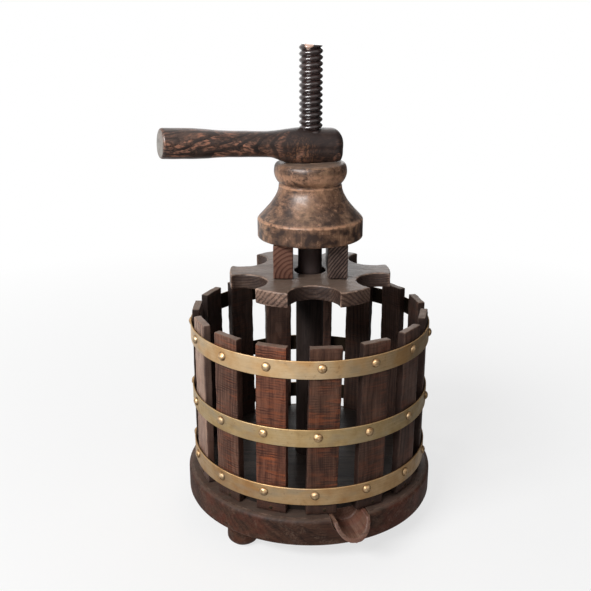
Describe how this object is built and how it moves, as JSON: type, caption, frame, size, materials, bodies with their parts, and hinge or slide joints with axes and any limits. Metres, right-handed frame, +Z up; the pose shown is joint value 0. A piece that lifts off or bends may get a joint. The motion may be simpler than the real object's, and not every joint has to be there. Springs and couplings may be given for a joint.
{
  "type": "nutcracker",
  "caption": "Wooden screw nutcracker in the form of a small basket press: a handle turns down a screw and drives a bell and a toothed plate into a staved basket.",
  "frame": {"origin": "centre of the base's flat underside, on the screw's axis; the feet hang below it", "axes": "+Z up along the screw, -Y to the front, where the spout and the handle's grip point to either side of it"},
  "size_m": [0.1507, 0.1499, 0.2659],
  "materials": {
    "base_wood": "dark stained, satin",
    "stave_wood": "dark stained, sawn, matt",
    "spout_wood": "dark stained, worn inside",
    "screw_wood": "dark stained, glossy",
    "plate_wood": "dark stained, satin",
    "bell_wood": "dark stained, worn, semi-gloss",
    "handle_wood": "dark stained, worn, semi-gloss",
    "brass": "aged, satin"
  },
  "bodies": {
    "basket": {"base": "base_wood", "floor_disc": "base_wood", "spout": "spout_wood", "foot_front": "base_wood", "foot_right": "base_wood", "foot_rear": "base_wood", "press_post": "screw_wood", "stave_01": "stave_wood", "stave_02": "stave_wood", "stave_03": "stave_wood", "stave_04": "stave_wood", "stave_05": "stave_wood", "stave_06": "stave_wood", "stave_07": "stave_wood", "stave_08": "stave_wood", "stave_09": "stave_wood", "stave_10": "stave_wood", "stave_11": "stave_wood", "stave_12": "stave_wood", "stave_13": "stave_wood", "stave_14": "stave_wood", "stave_15": "stave_wood", "hoop_bottom": "brass", "hoop_middle": "brass", "hoop_top": "brass"},
    "bell": {"bell": "bell_wood"},
    "plate": {"press_plate": "plate_wood", "bar_left": "plate_wood", "bar_right": "plate_wood"},
    "handle": {"handle": "handle_wood"}
  },
  "joints": [
    {"name": "press_travel", "type": "slide", "parent": "basket", "child": "bell", "axis": [0, 0, 1], "range_m": [-0.03493, 0.04128]},
    {"name": "handle_turn", "type": "hinge", "parent": "bell", "child": "handle", "pos_m": [0, 0, 0.2], "axis": [0, 0, 1], "range_deg": [-3960, 4680]},
    {"name": "plate_spin", "type": "hinge", "parent": "bell", "child": "plate", "pos_m": [0, 0, 0.128], "axis": [0, 0, 1], "continuous": true}
  ],
  "couplings": [
    {"joint": "press_travel", "follows": "handle_turn", "m_per_rad": 0.00050532}
  ]
}
